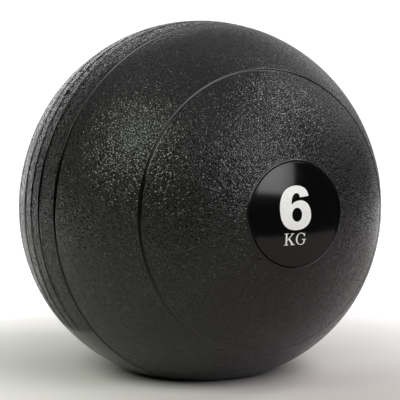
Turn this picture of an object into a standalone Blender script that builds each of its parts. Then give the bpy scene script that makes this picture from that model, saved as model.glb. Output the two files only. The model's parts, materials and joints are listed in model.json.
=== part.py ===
"""A 6 kg slam ball: a thick moulded rubber ball, part filled with loose iron sand.

Metres, +Z up. The ball rests on the plane z = 0 with the origin at the middle of its contact
patch. Its moulding axis is level and lies along Y, and the weight badge faces -Y.

Every piece is first turned about the moulding axis of a perfectly round ball. rest_point then
lets the ball sag under its ballast, so that the pieces keep their fit in the resting shape.
Two coordinates describe a place on the round ball: its latitude above the tread's middle plane
towards the badge, and its angle round the axis from straight down towards -X.
"""

from math import asin, atan2, cos, hypot, pi, radians, sin, sqrt

import bmesh
import bpy
from mathutils import Matrix, Vector

# ---------------------------------------------------------------- driving dimensions
BALL_R = 0.115              # outer radius of the unloaded ball, 230 mm across
WALL = 0.009                # thickness of the moulded wall
FIT_GAP = 0.0003            # air left between pieces that touch

# The loaded ball, as fractions of its radius
CENTRE_HEIGHT = 0.928       # centre above the floor, so the contact patch is about 80 mm across
PATCH_BLEND = 0.012         # how softly the wall turns up at the edge of the contact patch
SAG_SHIFT = -0.011          # the body of the ball settles
SAG_PEAR = 0.010            # its lower sides swell
SAG_SQUARE = -0.004         # its shoulders and hips pull in

# The tread: grooves at these latitudes, mirrored behind the middle plane
PARTING_LAT = 0.0
TREAD_GROOVE_LAT = radians(5.5)
TREAD_EDGE_LAT = radians(14.1)
SHOULDER_LAT = radians(44.3)
GROOVE_WIDTH = 0.0021
GROOVE_DEPTH = 0.0014
SHOULDER_GROOVE_WIDTH = 0.0021
SHOULDER_GROOVE_DEPTH = 0.0012
PARTING_WIDTH = 0.0012
PARTING_DEPTH = 0.0007
PLAIN_PANEL_HALF = radians(50)   # the inner grooves stop either side of straight down

# Badges and their seats at the two poles
BEAD_R = 0.0312             # outer radius of the raised bead round the seat
BEAD_WIDTH = 0.0013
BEAD_HEIGHT = 0.0005
SEAT_DEPTH = 0.0019
BADGE_R = 0.0296
BADGE_THICK = 0.0012
BADGE_PROUD = 0.0002
BADGE_EDGE_ROUND = 0.0004
ADHESIVE_R = 0.0289
ADHESIVE_THICK = 0.0003

# Filling port under the front badge, and its stopper
PORT_R = 0.009
PLUG_FLANGE_R = 0.0115
PLUG_FLANGE_THICK = 0.0019
PLUG_TAPER = 0.0012         # how much narrower the stopper is at its inner end
PLUG_LENGTH = 0.011

# Inflation valve on the parting line
VALVE_ANGLE = radians(127)
VALVE_HEAD_R = 0.0022
VALVE_HEAD_THICK = 0.0015
VALVE_STEM_R = 0.0017
VALVE_BULB_R = 0.0045
VALVE_BULB_LENGTH = 0.0045
VALVE_LENGTH = 0.0140
NEEDLE_R = 0.0009
NEEDLE_DEPTH = 0.0075
VALVE_SINK = 0.0004         # the head sits this far under the tread
VALVE_SLACK = 0.0011        # between the bulb and the facets of the inner wall

BALLAST_LEVEL = -0.0194     # top of the sand, measured from the ball's centre
BALLAST_GAP = 0.0006        # between the sand's facets and those of the wall

# Facets
TURN_STEPS = 48             # round the moulding axis, a multiple of four
SMALL_STEPS = 24            # round the valve and its hole
LAND_STEP = radians(7.5)    # between profile points along the outer surface
INNER_STEP = radians(10)    # along the inner wall

CENTRE = Vector((0, 0, CENTRE_HEIGHT * BALL_R))
# Local +X, +Y and +Z of a turned piece point down, to +X and to the badge at -Y
TO_WORLD = Matrix(((0, 1, 0), (0, 0, -1), (-1, 0, 0)))


# ---------------------------------------------------------------- scene helpers
def clear_scene():
    for obj in list(bpy.data.objects):
        bpy.data.objects.remove(obj, do_unlink=True)


def new_collection(name):
    collection = bpy.data.collections.new(name)
    bpy.context.scene.collection.children.link(collection)
    return collection


def material(name, colour, roughness, metallic=0.0):
    mat = bpy.data.materials.new(name)
    mat.use_nodes = True
    shader = mat.node_tree.nodes["Principled BSDF"]
    shader.inputs["Base Color"].default_value = (*colour, 1)
    shader.inputs["Roughness"].default_value = roughness
    shader.inputs["Metallic"].default_value = metallic
    mat.diffuse_color = (*colour, 1)
    return mat


def evaluated_mesh(obj):
    graph = bpy.context.evaluated_depsgraph_get()
    return bpy.data.meshes.new_from_object(obj.evaluated_get(graph))


def turned(name, profile, steps, collection):
    """Spin (radius, height) points about local Z and make the result a plain mesh.

    The profile runs up the inside, if there is one, and down the outside."""
    mesh = bpy.data.meshes.new(name)
    edges = [(i, i + 1) for i in range(len(profile) - 1)]
    mesh.from_pydata([(r, 0, z) for r, z in profile], edges, [])
    obj = bpy.data.objects.new(name, mesh)
    collection.objects.link(obj)
    screw = obj.modifiers.new("turn", "SCREW")
    screw.axis = "Z"
    screw.steps = steps
    screw.render_steps = steps
    screw.use_merge_vertices = True
    screw.merge_threshold = 0.00001
    obj.data = evaluated_mesh(obj)
    obj.modifiers.clear()
    bpy.data.meshes.remove(mesh)
    return obj


# ---------------------------------------------------------------- the resting shape
def floor_clamp(height, floor):
    """The larger of the two, rounded where they cross."""
    blend = PATCH_BLEND * BALL_R
    above = height - floor
    if above > blend:
        return height
    if above < -blend:
        return floor
    return floor + (above + blend) ** 2 / (4 * blend)


def rest_point(point):
    """Where a point of the round ball, centred on the origin, lies when the ball rests."""
    radius = point.length
    if radius == 0:
        return CENTRE.copy()
    up = point.z / radius
    swell = 1 + SAG_SHIFT * up
    swell += SAG_PEAR * (5 * up ** 3 - 3 * up) / 2
    swell += SAG_SQUARE * (35 * up ** 4 - 30 * up ** 2 + 3) / 8
    moved = point * swell
    depth = BALL_R - radius
    moved.z = floor_clamp(moved.z, -CENTRE.z + depth)
    return moved + CENTRE


def turning_point(point):
    """Where a point of the sand lies, so that the sand clears the wall at every angle of roll.

    Of all the settled places at the point's latitude, the one nearest to the centre sets how
    far out the whole ring goes."""
    across = hypot(point.x, point.z)
    places = []
    for i in range(TURN_STEPS):
        turn = 2 * pi * i / TURN_STEPS
        places.append(rest_point(Vector((across * sin(turn), point.y, -across * cos(turn)))) - CENTRE)
    nearest = min(places, key=lambda place: place.length)
    reach = hypot(nearest.x, nearest.z)
    angle = atan2(point.x, -point.z)
    return CENTRE + Vector((reach * sin(angle), nearest.y, -reach * cos(angle)))


def fill_panel(point):
    """Close the two inner tread grooves where the plain panel crosses them."""
    radius = point.length
    latitude = abs(asin(max(-1, min(1, -point.y / radius))))
    half_band = GROOVE_WIDTH / BALL_R
    in_groove = abs(latitude - TREAD_GROOVE_LAT) < half_band
    in_panel = -point.z > cos(PLAIN_PANEL_HALF) * hypot(point.x, point.z)
    on_outside = radius > BALL_R - 2 * GROOVE_DEPTH
    if in_groove and in_panel and on_outside:
        return point * (BALL_R / radius)
    return point


def settle(obj, place=rest_point):
    """Turn a piece from its own axis into the ball's, and let it sag with the ball.

    Splitting every bent face along its shorter diagonal makes facing surfaces bend alike."""
    for vertex in obj.data.vertices:
        vertex.co = place(fill_panel(TO_WORLD @ vertex.co))
    body = bmesh.new()
    body.from_mesh(obj.data)
    bmesh.ops.triangulate(body, faces=body.faces[:], quad_method="SHORT_EDGE")
    body.to_mesh(obj.data)
    body.free()


def finish(obj, mat):
    obj.data.materials.clear()
    obj.data.materials.append(mat)
    obj.data.shade_smooth()
    obj.data.set_sharp_from_angle(angle=radians(30))
    return obj


# ---------------------------------------------------------------- outer shell
def on_sphere(radius, latitude):
    """(distance from the axis, height along it) of a point on a sphere."""
    return radius * cos(latitude), radius * sin(latitude)


def at_distance(radius, distance):
    """The same, for a point on the sphere that is this far from the axis."""
    return distance, sqrt(radius ** 2 - distance ** 2)


def groove(latitude, width, depth):
    """Four points across a groove with sloped sides, from the badge side on."""
    half = width / 2 / BALL_R
    floor_half = half * 0.45
    return [
        on_sphere(BALL_R, latitude + half),
        on_sphere(BALL_R - depth, latitude + floor_half),
        on_sphere(BALL_R - depth, latitude - floor_half),
        on_sphere(BALL_R, latitude - half),
    ]


def land(start, end):
    """Points on the surface between two latitudes, without the ends."""
    count = max(1, round(abs(start - end) / LAND_STEP))
    return [on_sphere(BALL_R, start + (end - start) * i / count) for i in range(1, count)]


def front_seat(inner):
    """Badge seat and bead of the front pole, from the distance inner outward."""
    seat = BALL_R - SEAT_DEPTH
    wall = BEAD_R - BEAD_WIDTH
    spread = [inner + (wall - inner) * i / 3 for i in range(4)]
    points = [at_distance(seat, r) for r in spread]
    points.append(at_distance(BALL_R + BEAD_HEIGHT * 0.6, wall + BEAD_WIDTH * 0.1))
    points.append(at_distance(BALL_R + BEAD_HEIGHT, wall + BEAD_WIDTH * 0.5))
    points.append(at_distance(BALL_R, BEAD_R))
    return points


def mirrored(points):
    return [(r, -z) for r, z in reversed(points)]


def outer_half():
    """The outside from the edge of the front bead to just before the parting line."""
    bead_lat = asin(at_distance(BALL_R, BEAD_R)[1] / BALL_R)
    half = GROOVE_WIDTH / 2 / BALL_R
    shoulder_half = SHOULDER_GROOVE_WIDTH / 2 / BALL_R
    parting_half = PARTING_WIDTH / 2 / BALL_R
    points = land(bead_lat, SHOULDER_LAT + shoulder_half)
    points += groove(SHOULDER_LAT, SHOULDER_GROOVE_WIDTH, SHOULDER_GROOVE_DEPTH)
    points += land(SHOULDER_LAT - shoulder_half, TREAD_EDGE_LAT + half)
    points += groove(TREAD_EDGE_LAT, GROOVE_WIDTH, GROOVE_DEPTH)
    points += land(TREAD_EDGE_LAT - half, TREAD_GROOVE_LAT + half)
    points += groove(TREAD_GROOVE_LAT, GROOVE_WIDTH, GROOVE_DEPTH)
    points.append(on_sphere(BALL_R, parting_half))
    return points


def hollow_profile(radius):
    """Up a sphere from the rear pole to the port's latitude in the inner wall.

    The ballast shares these latitudes, so its facets lie along those of the wall."""
    inner_r = BALL_R - WALL
    span = asin(at_distance(inner_r, PORT_R)[1] / inner_r) + pi / 2
    count = round(span / INNER_STEP)
    rings = [on_sphere(radius, -pi / 2 + span * i / count) for i in range(1, count + 1)]
    return [(0, -radius)] + rings


def shell_profile():
    inside = hollow_profile(BALL_R - WALL)

    counterbore_r = PLUG_FLANGE_R + FIT_GAP
    seat_z = at_distance(BALL_R - SEAT_DEPTH, counterbore_r)[1]
    step_z = seat_z - PLUG_FLANGE_THICK - FIT_GAP
    port = [(PORT_R, step_z), (counterbore_r, step_z)]

    front = front_seat(counterbore_r) + outer_half()
    rear = mirrored(front_seat(BADGE_R / 4) + outer_half()) + [(0, -(BALL_R - SEAT_DEPTH))]
    return inside + port + front + [on_sphere(BALL_R - PARTING_DEPTH, PARTING_LAT)] + rear


def radial_matrix(angle):
    """Puts a piece's local Z along the radius that leaves the axis at this angle."""
    outward = Vector((-sin(angle), 0, -cos(angle)))
    return outward.to_track_quat("Z", "Y").to_matrix().to_4x4()


def valve_hole_profile():
    """Stepped bore through the wall on the valve's own axis, distances from the centre."""
    top = BALL_R + 0.002
    head_floor = BALL_R - VALVE_SINK - VALVE_HEAD_THICK - FIT_GAP
    bottom = BALL_R - WALL - 0.004
    head_r = VALVE_HEAD_R + FIT_GAP
    stem_r = VALVE_STEM_R + FIT_GAP
    return [
        (0, top), (head_r, top), (head_r, head_floor),
        (stem_r, head_floor), (stem_r, bottom), (0, bottom),
    ]


def on_valve_axis(obj):
    """Place a piece turned on the valve's axis in the resting ball."""
    place = radial_matrix(VALVE_ANGLE)
    outside = place @ Vector((0, 0, BALL_R))
    shift = rest_point(outside) - outside
    for vertex in obj.data.vertices:
        vertex.co = place @ vertex.co + shift


def build_shell(parts, cutters, mat):
    shell = turned("outer_shell", shell_profile(), TURN_STEPS, parts)
    settle(shell)

    hole = turned("valve_hole_cutter", valve_hole_profile(), SMALL_STEPS, cutters)
    on_valve_axis(hole)
    hole.hide_render = True
    hole.display_type = "WIRE"
    cut = shell.modifiers.new("valve hole", "BOOLEAN")
    cut.operation = "DIFFERENCE"
    cut.object = hole
    return finish(shell, mat)


# ---------------------------------------------------------------- badges
def cap_profile(outer_r, inner_r, edge_r, edge_round):
    """A thin spherical cap between two spheres about the ball's centre, edge rounded."""
    rings = 4
    flat_r = edge_r - edge_round
    over = [at_distance(outer_r, flat_r * i / rings) for i in range(rings + 1)]
    shoulder = (edge_r, sqrt(outer_r ** 2 - edge_r ** 2) - edge_round)
    under = [at_distance(inner_r, edge_r * i / rings) for i in range(rings, -1, -1)]
    return over + [shoulder] + under


def build_badge(name, parts, mat, rear=False):
    outer = BALL_R + BADGE_PROUD
    profile = cap_profile(outer, outer - BADGE_THICK, BADGE_R, BADGE_EDGE_ROUND)
    return build_cap(name, profile, parts, mat, rear)


def build_adhesive(name, parts, mat, rear=False):
    outer = BALL_R + BADGE_PROUD - BADGE_THICK - FIT_GAP
    profile = cap_profile(outer, outer - ADHESIVE_THICK, ADHESIVE_R, ADHESIVE_THICK / 4)
    return build_cap(name, profile, parts, mat, rear)


def build_cap(name, profile, parts, mat, rear):
    """Turn a cap from its profile; a rear cap is the same one on the other pole."""
    if rear:
        profile = mirrored(profile)
    cap = turned(name, profile, TURN_STEPS, parts)
    settle(cap)
    return finish(cap, mat)


# ---------------------------------------------------------------- plug, valve and ballast
def build_filler_plug(parts, mat):
    counterbore_r = PLUG_FLANGE_R + FIT_GAP
    top = at_distance(BALL_R - SEAT_DEPTH, counterbore_r)[1] - FIT_GAP / 2
    underside = top - PLUG_FLANGE_THICK
    end = top - PLUG_LENGTH
    stem_r = PORT_R - FIT_GAP
    chamfer = 0.0005
    profile = [
        (0, top), (PLUG_FLANGE_R - chamfer, top), (PLUG_FLANGE_R, top - chamfer),
        (PLUG_FLANGE_R, underside), (stem_r, underside),
        (stem_r - PLUG_TAPER, end + chamfer), (stem_r - PLUG_TAPER - chamfer, end), (0, end),
    ]
    plug = turned("filler_plug", profile, TURN_STEPS // 2, parts)
    settle(plug)
    return finish(plug, mat)


def build_valve(parts, mat):
    """Mushroom-headed rubber valve with a blind hole for the pump's needle."""
    top = BALL_R - VALVE_SINK
    neck = BALL_R - WALL - VALVE_SLACK
    end = top - VALVE_LENGTH
    chamfer = 0.0004
    profile = [
        (0, top - NEEDLE_DEPTH), (NEEDLE_R, top - NEEDLE_DEPTH), (NEEDLE_R, top - chamfer),
        (NEEDLE_R + chamfer, top), (VALVE_HEAD_R - chamfer, top), (VALVE_HEAD_R, top - chamfer),
        (VALVE_HEAD_R, top - VALVE_HEAD_THICK), (VALVE_STEM_R, top - VALVE_HEAD_THICK),
        (VALVE_STEM_R, neck), (VALVE_BULB_R, neck - chamfer),
        (VALVE_BULB_R, neck - VALVE_BULB_LENGTH + chamfer),
        (VALVE_BULB_R - chamfer * 2, neck - VALVE_BULB_LENGTH), (0, end),
    ]
    valve = turned("inflation_valve", profile, SMALL_STEPS, parts)
    on_valve_axis(valve)
    return finish(valve, mat)


def build_ballast(parts, mat):
    """Loose sand lying in the bottom of the hollow with a level top, shaped to turn inside it."""
    radius = BALL_R - WALL - BALLAST_GAP
    profile = [(0, radius)] + hollow_profile(radius)[::-1]
    ballast = turned("iron_sand_ballast", profile, TURN_STEPS, parts)
    settle(ballast, turning_point)
    body = bmesh.new()
    body.from_mesh(ballast.data)
    level = CENTRE + Vector((0, 0, BALLAST_LEVEL))
    everything = body.verts[:] + body.edges[:] + body.faces[:]
    cut = bmesh.ops.bisect_plane(
        body, geom=everything, plane_co=level, plane_no=(0, 0, 1), clear_outer=True
    )
    rim = [item for item in cut["geom_cut"] if isinstance(item, bmesh.types.BMEdge)]
    bmesh.ops.holes_fill(body, edges=rim, sides=0)
    bmesh.ops.recalc_face_normals(body, faces=body.faces)
    body.to_mesh(ballast.data)
    body.free()
    return finish(ballast, mat)


# ---------------------------------------------------------------- the ball
def build_ball():
    clear_scene()
    parts = new_collection("slam_ball")
    cutters = new_collection("cutters")

    build_shell(parts, cutters, material("shell_rubber", (0.010, 0.009, 0.009), 0.30))
    build_badge("front_badge", parts, material("front_badge_gloss", (0.006, 0.006, 0.007), 0.06))
    build_badge("rear_badge", parts, material("rear_badge_gloss", (0.007, 0.007, 0.008), 0.07), True)
    build_adhesive("front_badge_adhesive", parts, material("front_foam", (0.05, 0.05, 0.05), 0.9))
    build_adhesive("rear_badge_adhesive", parts, material("rear_foam", (0.06, 0.06, 0.06), 0.9), True)
    build_filler_plug(parts, material("plug_rubber", (0.04, 0.038, 0.036), 0.6))
    build_valve(parts, material("valve_rubber", (0.02, 0.018, 0.018), 0.55))
    build_ballast(parts, material("iron_sand", (0.10, 0.09, 0.085), 0.85, 0.2))


build_ball()
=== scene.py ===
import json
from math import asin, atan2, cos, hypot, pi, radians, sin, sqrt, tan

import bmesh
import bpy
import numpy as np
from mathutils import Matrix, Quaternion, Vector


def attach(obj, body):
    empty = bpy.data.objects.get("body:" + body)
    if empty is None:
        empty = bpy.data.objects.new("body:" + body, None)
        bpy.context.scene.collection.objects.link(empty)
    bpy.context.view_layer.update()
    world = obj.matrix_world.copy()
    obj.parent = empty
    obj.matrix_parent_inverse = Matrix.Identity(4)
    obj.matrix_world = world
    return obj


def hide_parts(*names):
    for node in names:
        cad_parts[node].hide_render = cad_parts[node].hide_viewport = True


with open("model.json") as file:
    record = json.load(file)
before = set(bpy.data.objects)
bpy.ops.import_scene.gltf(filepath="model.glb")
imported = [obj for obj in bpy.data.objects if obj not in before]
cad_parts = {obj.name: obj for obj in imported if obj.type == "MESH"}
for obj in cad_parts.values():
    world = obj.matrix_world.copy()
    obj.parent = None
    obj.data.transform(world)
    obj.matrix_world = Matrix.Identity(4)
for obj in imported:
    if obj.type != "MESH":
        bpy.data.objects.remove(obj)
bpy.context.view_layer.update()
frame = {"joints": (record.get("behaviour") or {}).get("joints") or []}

# A 6 kg slam ball: the fine surfaces of the moulded shell, its badges, valve and sand.
# Every piece is first made on a perfectly round ball about the origin and then sags with it,
# by the same rule as the solids. A place on the round ball has a latitude, from the tread's
# middle plane towards the weight badge, and an angle round the moulding axis, from straight
# down towards -X.

# ---------------------------------------------------------------- the ball, as in the solids
BALL_R = 0.115
WALL = 0.009
FIT_GAP = 0.0003
CENTRE = np.array(frame["joints"][0]["pos_m"])      # the sand rolls about the ball's centre

PATCH_BLEND = 0.012
SAG_SHIFT = -0.011
SAG_PEAR = 0.010
SAG_SQUARE = -0.004

TREAD_GROOVE_LAT = radians(5.5)
TREAD_EDGE_LAT = radians(14.1)
SHOULDER_LAT = radians(44.3)
PLAIN_PANEL_HALF = radians(50)

BEAD_R = 0.0312
BEAD_WIDTH = 0.0013
BEAD_HEIGHT = 0.0005
SEAT_DEPTH = 0.0019
BADGE_R = 0.0296
BADGE_THICK = 0.0012
BADGE_PROUD = 0.0002
BADGE_EDGE_ROUND = 0.0004
ADHESIVE_R = 0.0289
ADHESIVE_THICK = 0.0003

PORT_R = 0.009
PLUG_FLANGE_R = 0.0115
PLUG_FLANGE_THICK = 0.0019
PLUG_TAPER = 0.0012
PLUG_LENGTH = 0.011

VALVE_ANGLE = radians(127)
VALVE_HEAD_R = 0.0022
VALVE_HEAD_THICK = 0.0015
VALVE_STEM_R = 0.0017
VALVE_BULB_R = 0.0045
VALVE_BULB_LENGTH = 0.0045
VALVE_LENGTH = 0.0140
NEEDLE_R = 0.0009
NEEDLE_DEPTH = 0.0075
VALVE_SINK = 0.0004
VALVE_SLACK = 0.0011

BALLAST_LEVEL = -0.0194
BALLAST_GAP = 0.0006
ROLL_CHECKS = 48            # angles at which the sand's room to roll is measured

# ---------------------------------------------------------------- fine surface
GRAIN_STEP = 0.00062        # between rows of vertices on the grained lands
FINE_STEP = 0.00017         # and across a groove
PEBBLE = 0.00122            # spacing of the moulded pebble grain
PEBBLE_DOME = 0.00010       # rise of a pebble from its rim to its middle
PEBBLE_CREASE = 0.00019     # depth of the creases between pebbles
PEBBLE_TILT = 0.14          # slope by which a pebble may lean
CLUSTER = 0.0026            # the pebbles stand in low clusters of this size
CLUSTER_RELIEF = 0.00006    # and of this height
TREAD_GRAIN = 3.5           # how much coarser the relief is on the tread, in front
REAR_GRAIN = 2.6            # and behind its middle, where it is worn smoother
CAP_COLUMNS = 720           # round the moulding axis
FLANK_COLUMNS = 800
TREAD_COLUMNS = 1280
BADGE_COLUMNS = 256
SMALL_COLUMNS = 96

# Marks left by the mould on the tread
MARK_ANGLE = radians(136)       # a bar across the rear inner groove, with a nick beside it
MARK_HALF = 0.0011
NICK_LOW = radians(-4.3)
NICK_HIGH = radians(3.6)
NICK_HALF = 0.0010
NICK_DEPTH = 0.0005
FADED = 0.3                     # the shoulder grooves are shallower round the bottom
FADE_START = radians(35)
FADE_END = radians(75)
FLASH_ANGLE = radians(63)       # a stretch of the parting line that opened wider
FLASH_HALF = 0.0034
FLASH_GROWTH = 1.3              # how much wider and deeper it is there, as a share


def groove(latitude, width, depth, panel=False, barred=False, fades=False):
    """A moulded groove, which may stop at the plain panel or at a mould bar, or fade below."""
    return {
        "lat": latitude, "half": width / 2, "depth": depth,
        "panel": panel, "barred": barred, "fades": fades,
    }


GROOVES = [
    groove(SHOULDER_LAT, 0.0021, 0.00065, fades=True),
    groove(TREAD_EDGE_LAT, 0.0024, 0.0014),
    groove(TREAD_GROOVE_LAT, 0.0026, 0.0018, panel=True),
    groove(0, 0.0012, 0.0007),
    groove(-TREAD_GROOVE_LAT, 0.0026, 0.0018, panel=True, barred=True),
    groove(-TREAD_EDGE_LAT, 0.0024, 0.0014),
    groove(-SHOULDER_LAT, 0.0021, 0.00065, fades=True),
]
GROOVE_REACH = 1.2          # where the lips of a groove end, in half widths from its middle
GROOVE_BOTTOM = -0.1        # where it is deepest, towards the tread's middle plane
GROOVE_END = radians(3)     # over which it runs out at the plain panel


# ---------------------------------------------------------------- the resting shape
def rest_points(points):
    """Where points of the round ball lie when the ball rests, as an array of the same shape."""
    radius = np.linalg.norm(points, axis=-1)
    up = points[..., 2] / np.maximum(radius, 1e-9)
    swell = 1 + SAG_SHIFT * up
    swell += SAG_PEAR * (5 * up ** 3 - 3 * up) / 2
    swell += SAG_SQUARE * (35 * up ** 4 - 30 * up ** 2 + 3) / 8
    moved = points * swell[..., None]
    floor = BALL_R - radius - CENTRE[2]
    blend = PATCH_BLEND * BALL_R
    above = moved[..., 2] - floor
    rounded = floor + (above + blend) ** 2 / (4 * blend)
    height = np.where(above > blend, moved[..., 2], np.where(above < -blend, floor, rounded))
    moved[..., 2] = height
    return moved + CENTRE


def turning_points(points):
    """Where points of the sand lie, so that it clears the wall at every angle of roll.

    Of all the settled places at a point's latitude, the one nearest to the centre sets how far
    out the whole ring goes."""
    across = np.hypot(points[..., 0], points[..., 2])
    turns = np.arange(ROLL_CHECKS) * 2 * pi / ROLL_CHECKS
    rings = [np.stack([across * sin(turn), points[..., 1], -across * cos(turn)], axis=-1) for turn in turns]
    places = np.stack([rest_points(ring) - CENTRE for ring in rings])
    nearest = np.argmin(np.linalg.norm(places, axis=-1), axis=0)
    place = np.take_along_axis(places, nearest[None, ..., None], axis=0)[0]
    reach = np.hypot(place[..., 0], place[..., 2])
    angle = np.arctan2(points[..., 0], -points[..., 2])
    return CENTRE + np.stack([reach * np.sin(angle), place[..., 1], -reach * np.cos(angle)], axis=-1)


def smooth(value, low, high):
    """0 below low, 1 above high and an even S between them."""
    t = np.clip((value - low) / (high - low), 0, 1)
    return t * t * (3 - 2 * t)


def angle_between(angle, middle):
    return np.abs((angle - middle + pi) % (2 * pi) - pi)


def groove_presence(cut, angle):
    """1 where a groove has its full depth, and 0 where the panel or a mould bar closes it."""
    present = np.ones_like(angle)
    if cut["fades"]:
        present = FADED + (1 - FADED) * smooth(angle_between(angle, 0), FADE_START, FADE_END)
    if cut["panel"]:
        from_bottom = angle_between(angle, 0)
        present = present * smooth(from_bottom, PLAIN_PANEL_HALF, PLAIN_PANEL_HALF + GROOVE_END)
    if cut["barred"]:
        from_bar = angle_between(angle, MARK_ANGLE) * BALL_R
        present = present * smooth(from_bar, MARK_HALF * 0.5, MARK_HALF * 1.5)
    return present


def flash(angle):
    """1 along the stretch of the parting line that opened wider."""
    return 1 - smooth(angle_between(angle, FLASH_ANGLE) * BALL_R, FLASH_HALF * 0.6, FLASH_HALF)


def nick(latitude, angle):
    """1 in the nick across the middle of the tread."""
    across = 1 - smooth(angle_between(angle, MARK_ANGLE) * BALL_R, NICK_HALF * 0.3, NICK_HALF)
    end = NICK_HALF / BALL_R
    low_end = smooth(latitude, NICK_LOW, NICK_LOW + end)
    high_end = smooth(latitude, NICK_HIGH - end, NICK_HIGH)
    return across * low_end * (1 - high_end)


def groove_profile(across):
    """Share of the depth at a distance from a groove's middle, in half widths, poleward positive."""
    return smooth(across, -1.0, GROOVE_BOTTOM) * (1 - smooth(across, GROOVE_BOTTOM, 0.95))


def surface_depth(latitude, angle):
    """How far the moulded surface lies under the round ball: grooves, the nick and the flash."""
    depth = NICK_DEPTH * nick(latitude, angle)
    for cut in GROOVES:
        across = (latitude - cut["lat"]) * BALL_R / cut["half"]
        if cut["lat"] == 0:
            growth = 1 + FLASH_GROWTH * flash(angle)
            profile = 1 - smooth(np.abs(across) / growth, 0.2, 1.1)
        else:
            growth = 1
            profile = groove_profile(across * np.sign(cut["lat"]))
        depth = np.maximum(depth, cut["depth"] * growth * groove_presence(cut, angle) * profile)
    return depth


def grain_amount(latitude, angle):
    """1 on the grained lands and more on the tread.

    It is 0 in the grooves, on the plain panel and on the collar round the valve."""
    tread = np.where(latitude < 0, REAR_GRAIN, TREAD_GRAIN)
    amount = np.where(np.abs(latitude) < TREAD_EDGE_LAT, tread, 1.0) * np.ones_like(angle)
    for cut in GROOVES:
        across = np.abs(latitude - cut["lat"]) * BALL_R
        lip = smooth(across, cut["half"] * 1.1, cut["half"] * 1.5)
        amount = amount * (1 - (1 - lip) * np.minimum(1, groove_presence(cut, angle) * 2))
    inside = 1 - smooth(np.abs(latitude), TREAD_EDGE_LAT - radians(0.6), TREAD_EDGE_LAT)
    beside = smooth(angle_between(angle, 0), PLAIN_PANEL_HALF - radians(1), PLAIN_PANEL_HALF + radians(1.5))
    from_valve = np.hypot(latitude, angle_between(angle, VALVE_ANGLE)) * BALL_R
    collar = smooth(from_valve, VALVE_HEAD_R + 0.0005, VALVE_HEAD_R + 0.0015)
    return amount * collar * (1 - inside * (1 - beside))


# ---------------------------------------------------------------- swept meshes
def on_axis_rows(points):
    """Rows (latitude, radius, 0) from points given as (distance from the axis, height along it)."""
    return [(atan2(z, r), hypot(r, z), 0) for r, z in points]


def at_distance(radius, distance):
    return distance, sqrt(radius ** 2 - distance ** 2)


def outer_rows(top, bottom):
    """Rows down the outside, close together across the grooves."""
    rows = [top]
    while rows[-1] > bottom:
        near = min(abs(rows[-1] - cut["lat"]) * BALL_R - cut["half"] * GROOVE_REACH for cut in GROOVES)
        share = min(1, max(0, near / (2 * GRAIN_STEP)))
        rows.append(rows[-1] - (FINE_STEP + (GRAIN_STEP - FINE_STEP) * share) / BALL_R)
    scale = (top - bottom) / (top - rows[-1])
    return [(top - (top - row) * scale, BALL_R, 1) for row in rows]


def inner_rows(bottom, top):
    count = max(1, round(abs(top - bottom) / radians(5)))
    return [(bottom + (top - bottom) * i / count, BALL_R - WALL, 0) for i in range(count + 1)]


def signed_volume(points, faces):
    a, b, c, d = (points[faces[:, i]] for i in range(4))
    return (np.einsum("ij,ij->", a, np.cross(b, c)) + np.einsum("ij,ij->", a, np.cross(c, d))) / 6


def ring_faces(count, columns, loop):
    """Four indices for each face between rings of points.

    The last ring of a loop joins the first. Otherwise two tips follow the rings in the list of
    points, and close the first ring and the last."""
    first = np.arange(count if loop else count - 1)[:, None] * columns
    second = (first + columns) % (count * columns)
    here = np.arange(columns)[None, :]
    after = (here + 1) % columns
    faces = np.stack([first + here, first + after, second + after, second + here], axis=-1)
    faces = faces.reshape(-1, 4)
    if loop:
        return faces
    ring = here[0]
    step = after[0]
    tip = np.full(columns, count * columns)
    last = (count - 1) * columns
    top = np.stack([tip, step, ring, ring], axis=-1)
    end = np.stack([tip + 1, last + ring, last + step, last + step], axis=-1)
    return np.vstack([faces, top, end])


def facing_out(points, faces):
    if signed_volume(points, faces) < 0:
        return faces[:, ::-1]
    return faces


def sweep(name, rows, columns, mat, nodes):
    """Sweep rows round the moulding axis into a closed mesh.

    A list of rows that starts and ends on the axis is closed there by its two poles. Any other
    list is a loop, and its last row joins its first."""
    rows = np.array(rows, float)
    poles = abs(cos(rows[0, 0])) < 1e-6 and abs(cos(rows[-1, 0])) < 1e-6
    ends = rows[[0, -1]]
    if poles:
        rows = rows[1:-1]
    angle = np.arange(columns)[None, :] * 2 * pi / columns
    latitude = rows[:, :1]
    outside = rows[:, 2:]
    radius = rows[:, 1:2] - outside * surface_depth(latitude, angle)
    points = np.stack([
        -radius * np.cos(latitude) * np.sin(angle),
        -radius * np.sin(latitude) * np.ones_like(angle),
        -radius * np.cos(latitude) * np.cos(angle),
    ], axis=-1).reshape(-1, 3)
    grain = (outside * grain_amount(latitude, angle)).ravel()
    if poles:
        points = np.vstack([points, [[0, -end[1] * sin(end[0]), 0] for end in ends]])
        grain = np.append(grain, [0, 0])
    faces = facing_out(points, ring_faces(len(rows), columns, loop=not poles))
    return piece(name, rest_points(points), faces, mat, nodes, grain=grain)


def piece(name, points, faces, mat, nodes, body="ball", grain=None):
    """A shaded mesh object that rides on a body, takes a slot's finish and stands for nodes."""
    faces = [list(dict.fromkeys(face)) for face in faces.tolist()]
    mesh = bpy.data.meshes.new(name)
    mesh.from_pydata(points.tolist(), [], faces)
    if grain is not None:
        mesh.attributes.new("grain", "FLOAT", "POINT").data.foreach_set("value", grain.astype(np.float32))
    obj = bpy.data.objects.new(name, mesh)
    bpy.context.scene.collection.objects.link(obj)
    return dress(obj, mat, nodes, body)


def dress(obj, mat, nodes, body="ball"):
    obj.data.materials.clear()
    obj.data.materials.append(mat)
    obj.data.shade_smooth()
    obj.data.set_sharp_from_angle(angle=radians(40))
    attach(obj, body)
    if nodes:
        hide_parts(*nodes)
    return obj


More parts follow.
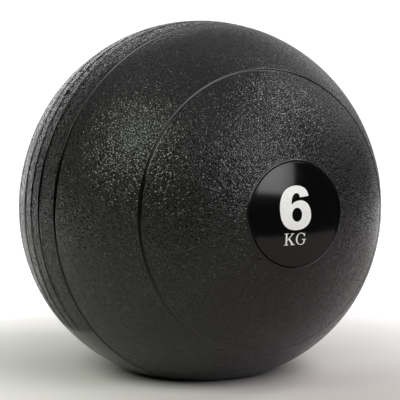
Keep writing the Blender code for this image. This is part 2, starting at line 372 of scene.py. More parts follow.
def apply_modifiers(obj):
    graph = bpy.context.evaluated_depsgraph_get()
    made = bpy.data.meshes.new_from_object(obj.evaluated_get(graph), depsgraph=graph)
    obj.modifiers.clear()
    obj.data = made


# ---------------------------------------------------------------- node helpers
MIDDLE_COLOUR = (0.5, 0.5, 0.5)     # the mean of a random colour


def node(tree, kind, inputs=(), **settings):
    """Add a node, set its properties, and link or set its inputs, given by name or number."""
    made = tree.nodes.new(kind)
    for key, value in settings.items():
        setattr(made, key, value)
    for key, value in dict(inputs).items():
        if isinstance(value, bpy.types.NodeSocket):
            tree.links.new(value, made.inputs[key])
        else:
            made.inputs[key].default_value = value
    return made


def maths(tree, operation, a, b=0.0):
    return node(tree, "ShaderNodeMath", {0: a, 1: b}, operation=operation).outputs[0]


def ranged(tree, value, low, high, to_low=0.0, to_high=1.0):
    """value from low..high, smoothly, to to_low..to_high."""
    return node(
        tree, "ShaderNodeMapRange",
        {"Value": value, "From Min": low, "From Max": high, "To Min": to_low, "To Max": to_high},
        interpolation_type="SMOOTHSTEP",
    ).outputs["Result"]


def noise(tree, position, size, detail=2.0):
    return node(
        tree, "ShaderNodeTexNoise", {"Vector": position, "Scale": 1 / size, "Detail": detail},
    ).outputs["Fac"]


def vector(tree, operation, a, b):
    """The node that works on two vectors, or on a vector and a scale."""
    second = "Scale" if operation == "SCALE" else 1
    return node(tree, "ShaderNodeVectorMath", {0: a, second: b}, operation=operation)


def voronoi(tree, position, size, feature="F1", output="Distance"):
    return node(
        tree, "ShaderNodeTexVoronoi", {"Vector": position, "Scale": 1 / size},
        feature=feature,
    ).outputs[output]


def colour_mix(tree, factor, a, b):
    mix = node(tree, "ShaderNodeMix", {"Factor": factor}, data_type="RGBA")
    sockets = [socket for socket in mix.inputs if socket.type == "RGBA"]
    for socket, value in zip(sockets, (a, b)):
        if isinstance(value, bpy.types.NodeSocket):
            tree.links.new(value, socket)
        else:
            socket.default_value = (*value, 1)
    return next(socket for socket in mix.outputs if socket.type == "RGBA")


def warped(tree, position, size, amount):
    """position pushed about by a noise of that size, so that a pattern isn't regular."""
    push = node(tree, "ShaderNodeTexNoise", {"Vector": position, "Scale": 1 / size, "Detail": 1.0})
    centred = vector(tree, "SUBTRACT", push.outputs["Color"], MIDDLE_COLOUR).outputs["Vector"]
    scaled = vector(tree, "SCALE", centred, amount).outputs["Vector"]
    return vector(tree, "ADD", position, scaled).outputs["Vector"]


def pebble_space(tree, position, size):
    """The position in which a moulded grain of that size is laid out."""
    return warped(tree, position, size * 3, size * 0.6)


def domes(tree, place, size):
    """0 to 1: rounded pebbles of a moulded grain of that size."""
    return ranged(tree, voronoi(tree, place, size), 0.80, 0.05)


def facets(tree, place, size, tilt):
    """Height in metres that leans each pebble its own way, by up to about tilt as a slope."""
    cells = node(tree, "ShaderNodeTexVoronoi", {"Vector": place, "Scale": 1 / size})
    lean = vector(tree, "SUBTRACT", cells.outputs["Color"], MIDDLE_COLOUR).outputs["Vector"]
    off = vector(tree, "SUBTRACT", place, cells.outputs["Position"]).outputs["Vector"]
    height = vector(tree, "DOT_PRODUCT", lean, off).outputs["Value"]
    return maths(tree, "MULTIPLY", height, tilt * 2)


def creases(tree, place, size):
    """1 in the creases between those pebbles and 0 on them."""
    return ranged(tree, voronoi(tree, place, size, "DISTANCE_TO_EDGE"), 0.14, 0.0)


# ---------------------------------------------------------------- materials
def new_material(name):
    mat = bpy.data.materials.new(name)
    mat.use_nodes = True
    return mat, mat.node_tree, mat.node_tree.nodes["Principled BSDF"]


def object_position(tree):
    return node(tree, "ShaderNodeTexCoord").outputs["Object"]


def world_position(tree):
    return node(tree, "ShaderNodeNewGeometry").outputs["Position"]


def bump(tree, height, distance, normal=None):
    inputs = {"Height": height, "Distance": distance}
    if normal is not None:
        inputs["Normal"] = normal
    return node(tree, "ShaderNodeBump", inputs).outputs["Normal"]


def grained_rubber():
    """Black moulded rubber with a pebble grain whose creases are rougher and darkened with painted shade.
    """
    mat, tree, shader = new_material("shell_rubber")
    position = object_position(tree)
    grain = node(tree, "ShaderNodeAttribute", attribute_name="grain").outputs["Fac"]
    place = pebble_space(tree, position, PEBBLE)
    pebbles = domes(tree, place, PEBBLE)
    creased = maths(tree, "MULTIPLY", maths(tree, "MINIMUM", grain, 1.0), creases(tree, place, PEBBLE))
    pits = noise(tree, position, PEBBLE * 0.35)
    patches = noise(tree, position, 0.03, 3.0)
    flow = noise(tree, position, 0.006)

    height = maths(tree, "MULTIPLY", pebbles, PEBBLE_DOME)
    height = maths(tree, "ADD", height, facets(tree, place, PEBBLE, PEBBLE_TILT))
    height = maths(tree, "SUBTRACT", height, maths(tree, "MULTIPLY", creased, PEBBLE_CREASE))
    height = maths(tree, "MULTIPLY", height, grain)
    relief = bump(tree, height, 1.0)
    fine = bump(tree, pits, 0.00001, relief)
    tree.links.new(fine, shader.inputs["Normal"])

    deep_black = (0.0022, 0.0020, 0.0019)
    warm_black = (0.0036, 0.0033, 0.0031)
    flow_mark = (0.0066, 0.0060, 0.0056)
    painted_crease_shade = (0.0016, 0.0015, 0.0014)
    black = colour_mix(tree, patches, deep_black, warm_black)
    black = colour_mix(tree, maths(tree, "MULTIPLY", flow, 0.3), black, flow_mark)
    # painted shade: the creases between pebbles are darkened where shadow would fall in them
    black = colour_mix(tree, maths(tree, "MULTIPLY", creased, 0.6), black, painted_crease_shade)
    tree.links.new(black, shader.inputs["Base Color"])

    rough = ranged(tree, patches, 0.3, 0.7, 0.13, 0.18)
    rough = maths(tree, "ADD", rough, maths(tree, "MULTIPLY", creased, 0.22))
    rough = maths(tree, "ADD", rough, maths(tree, "MULTIPLY", pits, 0.03))
    tree.links.new(rough, shader.inputs["Roughness"])
    shader.inputs["Specular IOR Level"].default_value = 0.5
    return mat


def badge_plastic():
    """Polished black plastic with the slight waviness of a moulded dome and fine handling marks."""
    mat, tree, shader = new_material("badge_gloss")
    position = object_position(tree)
    patches = noise(tree, position, 0.015, 3.0)
    streaked = node(tree, "ShaderNodeMapping", {"Vector": position, "Scale": (1, 1, 14)}).outputs[0]
    rub = noise(tree, streaked, 1 / 900)
    base = colour_mix(tree, patches, (0.0022, 0.0022, 0.0024), (0.0034, 0.0034, 0.0037))
    tree.links.new(base, shader.inputs["Base Color"])
    rough = ranged(tree, patches, 0.3, 0.7, 0.10, 0.13)
    rough = maths(tree, "ADD", rough, ranged(tree, rub, 0.6, 0.85, 0.0, 0.05))
    tree.links.new(rough, shader.inputs["Roughness"])
    wave = bump(tree, noise(tree, position, 0.012, 1.0), 0.00001)
    tree.links.new(wave, shader.inputs["Normal"])
    shader.inputs["Specular IOR Level"].default_value = 0.4
    return mat


def white_print():
    """Screen-printed white ink: a little uneven, with the film's fine texture."""
    mat, tree, shader = new_material("white_print")
    position = object_position(tree)
    cover = noise(tree, position, 0.002, 3.0)
    ink = colour_mix(tree, ranged(tree, cover, 0.3, 0.7), (0.88, 0.88, 0.87), (0.93, 0.93, 0.92))
    tree.links.new(ink, shader.inputs["Base Color"])
    tree.links.new(ranged(tree, cover, 0.3, 0.7, 0.32, 0.42), shader.inputs["Roughness"])
    tree.links.new(bump(tree, noise(tree, position, 0.0004, 2.0), 0.000008), shader.inputs["Normal"])
    return mat


def plain_rubber(name, dark, light, rough, specular=0.5):
    """Smooth moulded rubber: faint flow lines, a little bloom and fine pits."""
    mat, tree, shader = new_material(name)
    position = object_position(tree)
    flow = noise(tree, position, 0.004, 3.0)
    pits = voronoi(tree, position, 0.0005)
    tree.links.new(colour_mix(tree, flow, dark, light), shader.inputs["Base Color"])
    tree.links.new(ranged(tree, flow, 0.3, 0.7, rough - 0.05, rough + 0.07), shader.inputs["Roughness"])
    tree.links.new(bump(tree, pits, 0.00002), shader.inputs["Normal"])
    shader.inputs["Specular IOR Level"].default_value = specular
    return mat


def adhesive_foam():
    """Closed-cell foam tape: matt grey with small round cells."""
    mat, tree, shader = new_material("badge_foam")
    position = object_position(tree)
    cells = voronoi(tree, position, 0.0004)
    patches = noise(tree, position, 0.005, 2.0)
    base = colour_mix(tree, ranged(tree, cells, 0.1, 0.6), (0.025, 0.025, 0.027), (0.07, 0.07, 0.072))
    tree.links.new(base, shader.inputs["Base Color"])
    tree.links.new(ranged(tree, patches, 0.3, 0.7, 0.85, 0.95), shader.inputs["Roughness"])
    tree.links.new(bump(tree, cells, 0.00006), shader.inputs["Normal"])
    return mat


def iron_sand():
    """Dry iron-ore sand: dark angular grains, a few of them rusty, a few of them bright."""
    mat, tree, shader = new_material("iron_sand")
    position = object_position(tree)
    grains = voronoi(tree, position, 0.0007)
    tint = voronoi(tree, position, 0.0007, output="Color")
    tint = node(tree, "ShaderNodeSeparateColor", {"Color": tint})
    patches = noise(tree, position, 0.02, 3.0)
    base = colour_mix(tree, tint.outputs["Red"], (0.045, 0.040, 0.038), (0.15, 0.135, 0.125))
    base = colour_mix(tree, ranged(tree, tint.outputs["Green"], 0.85, 0.95), base, (0.16, 0.07, 0.035))
    base = colour_mix(tree, maths(tree, "MULTIPLY", patches, 0.4), base, (0.05, 0.045, 0.042))
    tree.links.new(base, shader.inputs["Base Color"])
    tree.links.new(ranged(tree, tint.outputs["Blue"], 0.0, 1.0, 0.35, 0.9), shader.inputs["Roughness"])
    shader.inputs["Metallic"].default_value = 0.2
    tree.links.new(bump(tree, grains, 0.0003), shader.inputs["Normal"])
    return mat


RUBBER = grained_rubber()
GLOSS = badge_plastic()
PRINT = white_print()
PLUG = plain_rubber("plug_rubber", (0.030, 0.028, 0.026), (0.048, 0.046, 0.043), 0.58)
VALVE = plain_rubber("valve_rubber", (0.008, 0.0062, 0.0058), (0.014, 0.010, 0.009), 0.75, 0.15)
FOAM = adhesive_foam()
SAND = iron_sand()


# ---------------------------------------------------------------- grain on the mesh
def grain_nodes():
    """Sinks the grained parts of a mesh between the clusters, never past the moulded surface."""
    tree = bpy.data.node_groups.new("pebble grain", "GeometryNodeTree")
    tree.interface.new_socket("Geometry", in_out="INPUT", socket_type="NodeSocketGeometry")
    tree.interface.new_socket("Geometry", in_out="OUTPUT", socket_type="NodeSocketGeometry")
    start = node(tree, "NodeGroupInput")
    position = node(tree, "GeometryNodeInputPosition").outputs[0]
    normal = node(tree, "GeometryNodeInputNormal").outputs[0]
    grain = node(tree, "GeometryNodeInputNamedAttribute", {"Name": "grain"}).outputs["Attribute"]
    place = pebble_space(tree, position, CLUSTER)
    sunk = maths(tree, "SUBTRACT", domes(tree, place, CLUSTER), 1.0)
    sunk = maths(tree, "MULTIPLY", maths(tree, "MULTIPLY", sunk, grain), CLUSTER_RELIEF)
    offset = vector(tree, "SCALE", normal, sunk)
    moved = node(
        tree, "GeometryNodeSetPosition",
        {"Geometry": start.outputs[0], "Offset": offset.outputs["Vector"]},
    )
    node(tree, "NodeGroupOutput", {0: moved.outputs[0]})
    return tree


GRAIN = grain_nodes()


def grained(obj):
    obj.modifiers.new("grain", "NODES").node_group = GRAIN
    apply_modifiers(obj)
    return obj


# ---------------------------------------------------------------- shell zones
def seat_and_bead(inner):
    """Badge seat and rounded bead of the front pole, from the distance inner outward."""
    wall = BEAD_R - BEAD_WIDTH
    points = [at_distance(BALL_R - SEAT_DEPTH, inner + (wall - inner) * i / 6) for i in range(7)]
    points.append(at_distance(BALL_R - SEAT_DEPTH / 2, wall))
    steps = 10
    for i in range(steps + 1):
        across = i / steps
        rise = sqrt(max(0, 1 - (2 * across - 1) ** 2)) ** 0.8
        points.append(at_distance(BALL_R + BEAD_HEIGHT * rise, wall + BEAD_WIDTH * across))
    return on_axis_rows(points)


BEAD_LAT = asin(at_distance(BALL_R, BEAD_R)[1] / BALL_R)


def behind(rows):
    """The same rows mirrored behind the tread's middle plane."""
    return [(-latitude, radius, outside) for latitude, radius, outside in rows]


def front_cap_rows():
    counterbore = PLUG_FLANGE_R + FIT_GAP
    step_z = at_distance(BALL_R - SEAT_DEPTH, counterbore)[1] - PLUG_FLANGE_THICK - FIT_GAP
    port_lat = asin(at_distance(BALL_R - WALL, PORT_R)[1] / (BALL_R - WALL))
    port = on_axis_rows([(PORT_R, step_z), (counterbore, step_z)])
    outside = seat_and_bead(counterbore) + outer_rows(BEAD_LAT, SHOULDER_LAT)[1:]
    return outside + inner_rows(SHOULDER_LAT, port_lat) + port


def rear_cap_rows():
    pole = [(pi / 2, BALL_R - SEAT_DEPTH, 0)]
    outside = pole + seat_and_bead(BADGE_R / 8) + outer_rows(BEAD_LAT, SHOULDER_LAT)[1:]
    return behind(outside + inner_rows(SHOULDER_LAT, pi / 2))


def ring_rows(top, bottom):
    return outer_rows(top, bottom) + inner_rows(bottom, top)


def zone(name, rows, columns):
    obj = sweep(name, rows, columns, RUBBER, ["outer_shell"])
    return grained(obj)


def build_shell():
    flank = ring_rows(SHOULDER_LAT, TREAD_EDGE_LAT)
    band = ring_rows(TREAD_EDGE_LAT, TREAD_GROOVE_LAT)
    zone("shell_front_cap", front_cap_rows(), CAP_COLUMNS)
    zone("shell_front_flank", flank, FLANK_COLUMNS)
    zone("shell_front_tread", band, TREAD_COLUMNS)
    middle = zone("shell_middle_tread", ring_rows(TREAD_GROOVE_LAT, -TREAD_GROOVE_LAT), TREAD_COLUMNS)
    zone("shell_rear_tread", behind(band), TREAD_COLUMNS)
    zone("shell_rear_flank", behind(flank), FLANK_COLUMNS)
    zone("shell_rear_cap", rear_cap_rows(), CAP_COLUMNS)
    cut_valve_hole(middle)


# ---------------------------------------------------------------- the valve and its hole
def on_valve_axis(points):
    """Points (distance from the valve's axis, distance from the ball's centre), turned and placed."""
    outward = Vector((-sin(VALVE_ANGLE), 0, -cos(VALVE_ANGLE)))
    place = np.array(outward.to_track_quat("Z", "Y").to_matrix())
    outside = np.array(outward) * BALL_R
    shift = rest_points(outside[None])[0] - outside
    turn = np.arange(SMALL_COLUMNS) * 2 * pi / SMALL_COLUMNS
    rings = []
    for r, z in points:
        ring = [r * np.cos(turn), r * np.sin(turn), np.full_like(turn, z)]
        rings.append(np.stack(ring, axis=-1))
    return np.stack(rings) @ place.T + shift


def turned_on_valve_axis(profile):
    """(points, faces) of a closed turned shape whose profile starts and ends on its axis."""
    rings = on_valve_axis(profile[1:-1])
    tips = on_valve_axis([profile[0], profile[-1]])[:, 0]
    points = np.vstack([rings.reshape(-1, 3), tips])
    count, columns = rings.shape[:2]
    return points, facing_out(points, ring_faces(count, columns, loop=False))


def rounded_corner(r, z, size, upper=True):
    """Points of a quarter-round that replaces a profile's upper or lower outer corner at (r, z)."""
    steps = 4
    up = 1 if upper else -1
    points = []
    for i in range(steps + 1):
        turn = pi / 2 * i / steps
        points.append((r - size * (1 - cos(turn)), z - up * size * (1 - sin(turn))))
    return points


RIDGE = [(-0.0002, 0), (-0.0001, 0.0001), (0.0001, 0.0001), (0.0002, 0)]     # a ring on the head


def valve_profile():
    top = BALL_R - VALVE_SINK
    neck = BALL_R - WALL - VALVE_SLACK
    soft = 0.0004
    head = rounded_corner(VALVE_HEAD_R, top, soft)[::-1]
    lip = NEEDLE_R + soft
    mouth = [(2 * lip - r, z) for r, z in rounded_corner(lip + soft, top, soft)]
    middle = (NEEDLE_R + VALVE_HEAD_R) / 2
    ridge = [(middle + across, top + rise) for across, rise in RIDGE]
    bulb = rounded_corner(VALVE_BULB_R, neck, soft * 2)[::-1]
    bulb += [(r, 2 * neck - VALVE_BULB_LENGTH - z) for r, z in reversed(bulb)]
    return (
        [(0, top - NEEDLE_DEPTH), (NEEDLE_R, top - NEEDLE_DEPTH)] + mouth + ridge + head
        + [(VALVE_HEAD_R, top - VALVE_HEAD_THICK), (VALVE_STEM_R, top - VALVE_HEAD_THICK),
           (VALVE_STEM_R, neck)]
        + bulb + [(0, top - VALVE_LENGTH)]
    )


def build_valve():
    points, faces = turned_on_valve_axis(valve_profile())
    piece("valve_fine", points, faces, VALVE, ["inflation_valve"])


def cut_valve_hole(obj):
    """Stepped bore with a softened mouth, cut through the middle tread."""
    top = BALL_R + 0.002
    head_floor = BALL_R - VALVE_SINK - VALVE_HEAD_THICK - FIT_GAP
    bottom = BALL_R - WALL - 0.004
    head_r = VALVE_HEAD_R + FIT_GAP
    stem_r = VALVE_STEM_R + FIT_GAP
    profile = [
        (0, top), (head_r + 0.0020, top), (head_r, BALL_R - 0.0002), (head_r, head_floor),
        (stem_r, head_floor), (stem_r, bottom), (0, bottom),
    ]
    points, faces = turned_on_valve_axis(profile)
    mesh = bpy.data.meshes.new("valve_hole")
    mesh.from_pydata(points.tolist(), [], [list(dict.fromkeys(face)) for face in faces.tolist()])
    cutter = bpy.data.objects.new("valve_hole", mesh)
    bpy.context.scene.collection.objects.link(cutter)
    cut = obj.modifiers.new("valve hole", "BOOLEAN")
    cut.operation = "DIFFERENCE"
    cut.object = cutter
    apply_modifiers(obj)
    bpy.data.objects.remove(cutter)


# ---------------------------------------------------------------- badges, adhesive and plug
def cap_rows(outer_r, inner_r, edge_r, edge_round, rings=24, corner=5):
    """A thin domed disc about the ball's centre with a rounded upper edge."""
    flat_r = edge_r - edge_round
    over = [(0, outer_r)] + [at_distance(outer_r, flat_r * i / rings) for i in range(1, rings + 1)]
    brow = over[-1][1]
    for i in range(1, corner + 1):
        turn = pi / 2 * i / corner
        over.append((flat_r + edge_round * sin(turn), brow - edge_round * (1 - cos(turn))))
    under = [at_distance(inner_r, edge_r * i / rings) for i in range(rings, 0, -1)]
    return on_axis_rows(over + under + [(0, inner_r)])


def build_badges():
    outer = BALL_R + BADGE_PROUD
    glue = outer - BADGE_THICK - FIT_GAP
    disc = cap_rows(outer, outer - BADGE_THICK, BADGE_R, BADGE_EDGE_ROUND)
    tape = cap_rows(glue, glue - ADHESIVE_THICK, ADHESIVE_R, ADHESIVE_THICK / 4, rings=12, corner=2)
    for side, turn in (("front", list), ("rear", behind)):
        badge = f"{side}_badge"
        sweep(f"{badge}_disc", turn(disc), BADGE_COLUMNS, GLOSS, [badge])
        sweep(f"{badge}_tape", turn(tape), SMALL_COLUMNS, FOAM, [f"{badge}_adhesive"])


def build_plug():
    counterbore = PLUG_FLANGE_R + FIT_GAP
    top = at_distance(BALL_R - SEAT_DEPTH, counterbore)[1] - FIT_GAP / 2
    underside = top - PLUG_FLANGE_THICK
    end = top - PLUG_LENGTH
    stem_r = PORT_R - FIT_GAP
    soft = 0.0005
    flange = rounded_corner(PLUG_FLANGE_R, top, soft)[::-1]
    tip = [(r - PLUG_TAPER, z) for r, z in rounded_corner(stem_r, end, soft, upper=False)]
    profile = [(0, top), (PLUG_FLANGE_R / 2, top)] + flange
    profile += [(PLUG_FLANGE_R, underside), (stem_r, underside)] + tip + [(0, end)]
    sweep("filler_plug_fine", on_axis_rows(profile), SMALL_COLUMNS, PLUG, ["filler_plug"])


# ---------------------------------------------------------------- printed weight
def bezier(start, one, two, end):
    """Points along a cubic curve, without its end."""
    steps = 14
    start, one, two, end = (np.array(p, float) for p in (start, one, two, end))
    t = (np.arange(steps) / steps)[:, None]
    curve = start * (1 - t) ** 3 + one * 3 * t * (1 - t) ** 2 + two * 3 * t ** 2 * (1 - t) + end * t ** 3
    return [tuple(p) for p in curve]


def ellipse(middle, half_width, half_height, start=0.0, end=360.0):
    """Points of an elliptical arc between two angles in degrees, both ends included."""
    steps = 48
    angles = [radians(start + (end - start) * i / steps) for i in range(steps + 1)]
    return [(middle[0] + half_width * cos(a), middle[1] + half_height * sin(a)) for a in angles]


def figure_six():
    """A plain heavy figure, 21 wide and 25 tall about its own middle."""
    outline = bezier((9.1, 6.5), (8.3, 10.6), (5.2, 12.5), (0.9, 12.5))
    outline += bezier((0.9, 12.5), (-6.6, 12.5), (-10.5, 7.4), (-10.5, -0.3))
    outline += bezier((-10.5, -0.3), (-10.5, -8.2), (-6.8, -12.5), (0.1, -12.5))
    outline += bezier((0.1, -12.5), (6.5, -12.5), (10.5, -9.1), (10.5, -4.3))
    outline += bezier((10.5, -4.3), (10.5, 0.6), (7.6, 4.1), (3.2, 4.1))
    outline += bezier((3.2, 4.1), (0.6, 4.1), (-1.6, 3.3), (-2.9, 1.6))
    outline += bezier((-2.9, 1.6), (-2.9, 5.6), (-1.5, 8.3), (0.8, 8.3))
    outline += bezier((0.8, 8.3), (2.1, 8.3), (2.7, 7.3), (2.9, 5.8))
    outline.append((2.9, 5.8))
    counter = ellipse((0.75, -3.85), 3.4, 3.95)[:-1]
    return [outline, counter]


def letter_k():
    """A light roman K, 1 tall, standing on its own baseline."""
    return [[
        (0.00, 0.00), (0.37, 0.00), (0.37, 0.05), (0.25, 0.05), (0.25, 0.36), (0.36, 0.48),
        (0.655, 0.05), (0.58, 0.05), (0.58, 0.00), (0.95, 0.00), (0.95, 0.05), (0.84, 0.05),
        (0.455, 0.585), (0.76, 0.95), (0.86, 0.95), (0.86, 1.00), (0.54, 1.00), (0.54, 0.95),
        (0.67, 0.95), (0.25, 0.455), (0.25, 0.95), (0.37, 0.95), (0.37, 1.00), (0.00, 1.00),
        (0.00, 0.95), (0.12, 0.95), (0.12, 0.05), (0.00, 0.05),
    ]]


def letter_g():
    """A light roman G, 1 tall, standing on its own baseline."""
    middle = (0.48, 0.5)
    outline = ellipse(middle, 0.46, 0.52, 50, 320)
    outline += [(0.85, 0.42), (0.95, 0.42), (0.95, 0.47), (0.58, 0.47), (0.58, 0.42), (0.72, 0.42)]
    outline += ellipse(middle, 0.33, 0.47, 316, 42)
    outline += [(0.795, 0.68), (0.835, 0.68), (0.835, 0.98), (0.80, 0.98)]
    return [outline]


def print_on_badge(name, outlines, wide, tall, right, up):
    """Lay a flat outline on the front badge's dome as a thin film of ink.

    wide and tall are the size in metres of one unit of the outline."""
    film = 0.00005
    lift = 0.00001
    cell = 0.001            # the flat shape is cut into squares of this size before it is bent
    flat = bpy.data.curves.new(name, "CURVE")
    flat.dimensions = "2D"
    flat.fill_mode = "BOTH"
    for outline in outlines:
        spline = flat.splines.new("POLY")
        spline.points.add(len(outline) - 1)
        spline.use_cyclic_u = True
        for point, (x, y) in zip(spline.points, outline):
            point.co = (x, y, 0, 1)
    source = bpy.data.objects.new(name + "_outline", flat)
    bpy.context.scene.collection.objects.link(source)
    graph = bpy.context.evaluated_depsgraph_get()
    mesh = bpy.data.meshes.new_from_object(source.evaluated_get(graph))
    bpy.data.objects.remove(source)

    body = bmesh.new()
    body.from_mesh(mesh)
    bmesh.ops.remove_doubles(body, verts=body.verts[:], dist=1e-5)
    for axis, step in enumerate((cell / wide, cell / tall)):
        low = min(v.co[axis] for v in body.verts)
        high = max(v.co[axis] for v in body.verts)
        normal = [0, 0, 0]
        normal[axis] = 1
        for i in range(1, int((high - low) / step) + 1):
            place = [0, 0, 0]
            place[axis] = low + i * step
            everything = body.verts[:] + body.edges[:] + body.faces[:]
            bmesh.ops.bisect_plane(body, geom=everything, plane_co=place, plane_no=normal)
    sphere = BALL_R + BADGE_PROUD + lift
    flat_points = np.array([v.co for v in body.verts])
    across = flat_points[:, 0] * wide + right
    along = flat_points[:, 1] * tall + up
    depth = -np.sqrt(sphere ** 2 - across ** 2 - along ** 2)
    placed = rest_points(np.stack([across, depth, along], axis=-1))
    for vertex, point in zip(body.verts, placed):
        vertex.co = point
    bmesh.ops.recalc_face_normals(body, faces=body.faces)
    if sum(face.normal.y * face.calc_area() for face in body.faces) > 0:
        bmesh.ops.reverse_faces(body, faces=body.faces)
    body.to_mesh(mesh)
    body.free()

    obj = bpy.data.objects.new(name, mesh)
    bpy.context.scene.collection.objects.link(obj)
    skin = obj.modifiers.new("film", "SOLIDIFY")
    skin.thickness = film
    skin.offset = 1
    apply_modifiers(obj)
    dress(obj, PRINT, [])


def build_print():
    print_on_badge("print_figure", figure_six(), 0.00097, 0.001, -0.0020, 0.0038)
    wide = 0.0073
    tall = 0.0066
    print_on_badge("print_unit_k", letter_k(), wide, tall, -0.0092, -0.0170)
    print_on_badge("print_unit_g", letter_g(), wide, tall, -0.0019, -0.0170)


# ---------------------------------------------------------------- ballast
def sand_top(x, y):
    """Height of the sand's heaps and hollows, which lie just under the level of the solid."""
    heaps = 0.0011 * np.sin(x * 70 + 1.1) * np.cos(y * 55 - 0.4)
    ripples = 0.0006 * np.sin(x * 160 - y * 120)
    return CENTRE[2] + BALLAST_LEVEL - 0.0012 + heaps + ripples


def build_ballast():
    """Loose sand in the bottom of the hollow, shaped to turn inside it.

    Its top is level but for soft heaps and hollows."""
    columns = 320
    wall_rows = 40
    top_rows = 90
    beach = 0.12            # share of the top over which it runs down from the wall
    radius = BALL_R - WALL - BALLAST_GAP
    angle = np.arange(columns) * 2 * pi / columns

    def ring_at(tilt):
        flat = radius * np.cos(tilt)
        ring = [flat * np.cos(angle), flat * np.sin(angle), radius * np.sin(tilt)]
        return turning_points(np.stack(ring, axis=-1))

    rim = np.full(columns, asin(BALLAST_LEVEL / radius))
    for _ in range(3):
        rim = np.arcsin(BALLAST_LEVEL / np.linalg.norm(ring_at(rim) - CENTRE, axis=-1))
    wall = [ring_at(-pi / 2 + (rim + pi / 2) * i / wall_rows) for i in range(1, wall_rows + 1)]

    edge = wall[-1]
    top = []
    for i in range(1, top_rows):
        share = 1 - i / top_rows
        x = edge[:, 0] * share
        y = edge[:, 1] * share
        level = smooth(1 - share, 0, beach)
        z = edge[:, 2] * (1 - level) + sand_top(x, y) * level
        top.append(np.stack([x, y, z], axis=-1))

    bottom = turning_points(np.array([[0, 0, -radius]]))
    crown = np.array([[0, 0, sand_top(0, 0)]])
    points = np.vstack(wall + top + [bottom, crown])
    faces = facing_out(points, ring_faces(len(wall) + len(top), columns, loop=False))
    piece("iron_sand_fill", points, faces, SAND, ["iron_sand_ballast"], "ballast")


# ---------------------------------------------------------------- stage, light and camera
VIEW_AZIMUTH = radians(-28.8)
VIEW_ELEVATION = radians(4.15)
VIEW_DISTANCE = 0.805
LENS = 113.4
AIM_DROP = 0.00375          # the ball's centre sits this share of the picture under its middle
SOFTBOX_DISTANCE = 0.9
HOT_MIDDLE = 1.3            # brightness of a softbox in its middle and at its sides
DIM_SIDE = 0.75
DIM_END = 0.75              # and at its top and bottom, as a share of that
SOFT_EDGE = 0.08            # width of its soft edge, as a share of its size
FLOOR_R = 1.6
FLOOR_BACK = 1.10           # the floor's middle lies this far behind the ball
FLOOR_DROP = 0.0004         # the floor lies this far under the ball's contact patch
PAINTED_LIGHT_BEHIND = 1.2           # brightness of the painted light that glows on the floor behind the ball
BACKDROP_LEFT = 2.6         # brightness of the backdrop at its left and right
BACKDROP_RIGHT = 0.5
BACKDROP_LEAN = 0.45        # slope of its upper edge, which falls to the right
CEILING = 0.36
DARK_ROOM = 0.015
SEEN_WHITE = 1.1            # brightness of the background that the camera sees


def direction(azimuth, elevation):
    """Unit vector from the ball; azimuth 0 is towards -Y and turns towards +X."""
    return Vector((sin(azimuth) * cos(elevation), -cos(azimuth) * cos(elevation), sin(elevation)))


def build_camera():
    back = direction(VIEW_AZIMUTH, VIEW_ELEVATION)
    data = bpy.data.cameras.new("camera")
    data.lens = LENS
    data.shift_y = AIM_DROP
    camera = bpy.data.objects.new("camera", data)
    camera.location = Vector(CENTRE) + back * VIEW_DISTANCE
    camera.rotation_mode = "QUATERNION"
    camera.rotation_quaternion = (-back).to_track_quat("-Z", "Y")
    bpy.context.scene.collection.objects.link(camera)
    bpy.context.scene.camera = camera


def softbox(name, azimuth, elevation, across, tall, radiance, colour=(1, 1, 1), roll=0):
    """A softbox seen from the ball at an azimuth from the camera, with its angular size in degrees.

    Its middle is brighter than its sides, and its edge is soft."""
    way = direction(VIEW_AZIMUTH + radians(azimuth), radians(elevation))
    data = bpy.data.lights.new(name, "AREA")
    data.shape = "RECTANGLE"
    data.size = 2 * SOFTBOX_DISTANCE * tan(radians(across / 2))
    data.size_y = 2 * SOFTBOX_DISTANCE * tan(radians(tall / 2))
    data.energy = radiance * pi * data.size * data.size_y
    data.color = colour
    data.use_nodes = True
    tree = data.node_tree
    place = node(tree, "ShaderNodeNewGeometry").outputs["Parametric"]
    spot = node(tree, "ShaderNodeSeparateXYZ", {"Vector": place})
    aside, above = (
        maths(tree, "ABSOLUTE", maths(tree, "SUBTRACT", spot.outputs[axis], 0.5)) for axis in "XY"
    )
    middle = ranged(tree, maths(tree, "MULTIPLY", aside, aside), 0.0, 0.18, HOT_MIDDLE, DIM_SIDE)
    middle_row = ranged(tree, maths(tree, "MULTIPLY", above, above), 0.0, 0.25, 1.0, DIM_END)
    side_edge = ranged(tree, aside, 0.5, 0.5 - SOFT_EDGE)
    end_edge = ranged(tree, above, 0.5, 0.5 - SOFT_EDGE)
    hot = maths(tree, "MULTIPLY", middle, middle_row)
    strength = maths(tree, "MULTIPLY", hot, maths(tree, "MULTIPLY", side_edge, end_edge))
    tree.links.new(strength, tree.nodes["Emission"].inputs["Strength"])
    light = bpy.data.objects.new(name, data)
    light.location = Vector(CENTRE) + way * SOFTBOX_DISTANCE
    light.rotation_mode = "QUATERNION"
    turn = Quaternion((0, 0, 1), radians(roll))
    light.rotation_quaternion = (-way).to_track_quat("-Z", "Y") @ turn
    light.visible_camera = False
    bpy.context.scene.collection.objects.link(light)


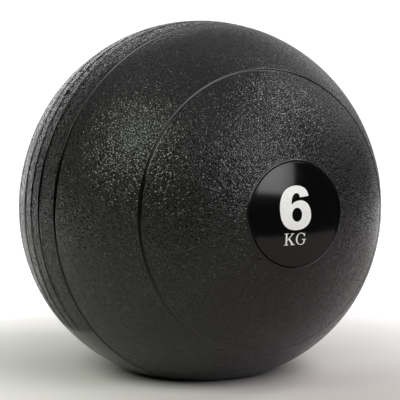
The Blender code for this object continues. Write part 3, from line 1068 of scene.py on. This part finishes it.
def table_surface():
    """A pale matt table top that glows a little with painted light, though it is no lamp.

    In front of the ball its colour is darker, a painted shade, so that little of it shows in the ball.
    Behind the ball it glows with painted light, as if the bright backdrop fell on it, and the
    camera sees it fade to white. Near the ball the glow fades out, which paints a contact shadow."""
    mat, tree, shader = new_material("pale_table")
    position = object_position(tree)
    place = world_position(tree)
    ahead = tuple(direction(VIEW_AZIMUTH + radians(28), 0))
    nearness = vector(tree, "DOT_PRODUCT", place, ahead).outputs["Value"]
    distance = node(tree, "ShaderNodeVectorMath", {0: place}, operation="LENGTH").outputs["Value"]

    cloud = noise(tree, position, 0.05)
    pale = colour_mix(tree, cloud, (0.83, 0.79, 0.78), (0.86, 0.82, 0.81))
    # painted shade: the floor's colour is darker in front of the ball, where it would lie in shade
    front = ranged(tree, nearness, 0.02, 0.16)
    dim = (0.43, 0.38, 0.37)
    tree.links.new(colour_mix(tree, front, pale, dim), shader.inputs["Base Color"])

    # painted light: the floor glows behind the ball as if the backdrop lit it, and glows paler where the
    # camera sees it
    behind = ranged(tree, nearness, -0.08, -0.42, 0.0, PAINTED_LIGHT_BEHIND)
    seen = node(tree, "ShaderNodeLightPath").outputs["Is Camera Ray"]
    paler = ranged(tree, distance, 0.15, 0.50, 0.4, 1.0)
    glow = maths(tree, "MAXIMUM", behind, maths(tree, "MULTIPLY", seen, paler))
    # painted shadow: the glow fades out near the ball, leaving a darker ring like a contact shadow
    outside_painted_shadow = ranged(tree, distance, 0.07, 0.30)
    tree.links.new(maths(tree, "MULTIPLY", glow, outside_painted_shadow), shader.inputs["Emission Strength"])
    shader.inputs["Emission Color"].default_value = (1, 1, 1, 1)
    shader.inputs["Roughness"].default_value = 0.9
    shader.inputs["Specular IOR Level"].default_value = 0.1
    return mat


def build_floor():
    """A round table top that ends a little in front of the ball."""
    body = bmesh.new()
    bmesh.ops.create_circle(body, cap_ends=True, segments=128, radius=FLOOR_R)
    mesh = bpy.data.meshes.new("table_top")
    body.to_mesh(mesh)
    body.free()
    mesh.materials.append(table_surface())
    floor = bpy.data.objects.new("table_top", mesh)
    back = -direction(VIEW_AZIMUTH + radians(34), 0)
    floor.location = back * FLOOR_BACK + Vector((0, 0, -FLOOR_DROP))
    bpy.context.scene.collection.objects.link(floor)


def build_world():
    """A white backdrop behind the ball, a dim ceiling and a dark room on the camera's side.

    The backdrop is brighter and taller on the left. The camera itself sees plain white."""
    world = bpy.data.worlds.new("studio")
    bpy.context.scene.world = world
    world.use_nodes = True
    tree = world.node_tree
    background = tree.nodes["Background"]
    background.inputs["Color"].default_value = (1, 1, 1, 1)
    way = node(tree, "ShaderNodeTexCoord").outputs["Generated"]
    ahead = tuple(-direction(VIEW_AZIMUTH + radians(4), 0))
    rightward = tuple(direction(VIEW_AZIMUTH + pi / 2, 0))
    facing = vector(tree, "DOT_PRODUCT", way, ahead).outputs["Value"]
    side = vector(tree, "DOT_PRODUCT", way, rightward).outputs["Value"]
    height = node(tree, "ShaderNodeSeparateXYZ", {"Vector": way}).outputs["Z"]

    leaning = maths(tree, "ADD", height, maths(tree, "MULTIPLY", side, BACKDROP_LEAN))
    shape = maths(tree, "MULTIPLY", ranged(tree, facing, 0.80, 0.90), ranged(tree, leaning, 0.54, 0.36))
    brightness = ranged(tree, side, -0.30, 0.10, BACKDROP_LEFT, BACKDROP_RIGHT)
    backdrop = maths(tree, "MULTIPLY", shape, brightness)
    ceiling = ranged(tree, height, 0.35, 0.75, 0.0, CEILING)
    glow = maths(tree, "ADD", backdrop, maths(tree, "ADD", ceiling, DARK_ROOM))
    seen = node(tree, "ShaderNodeLightPath").outputs["Is Camera Ray"]
    white = maths(tree, "MULTIPLY", seen, SEEN_WHITE)
    tree.links.new(maths(tree, "MAXIMUM", glow, white), background.inputs["Strength"])


def build_lights():
    softbox("right softbox", 41, 29, 38, 42, 3.6, roll=-8)
    softbox("upper right softbox", 88, 52, 30, 24, 2.6, (1.0, 0.97, 1.0))
    softbox("upper right strip", 89, 50, 7, 16, 8.0, (1.0, 0.97, 1.0))
    softbox("right fill", 132, 28, 66, 28, 0.6)
    softbox("left softbox", -46, 37, 32, 34, 5.2, (0.90, 1.0, 0.84))


build_shell()
build_valve()
build_badges()
build_plug()
build_print()
build_ballast()
build_floor()
build_world()
build_lights()
build_camera()

bpy.context.scene.view_settings.view_transform = "Standard"
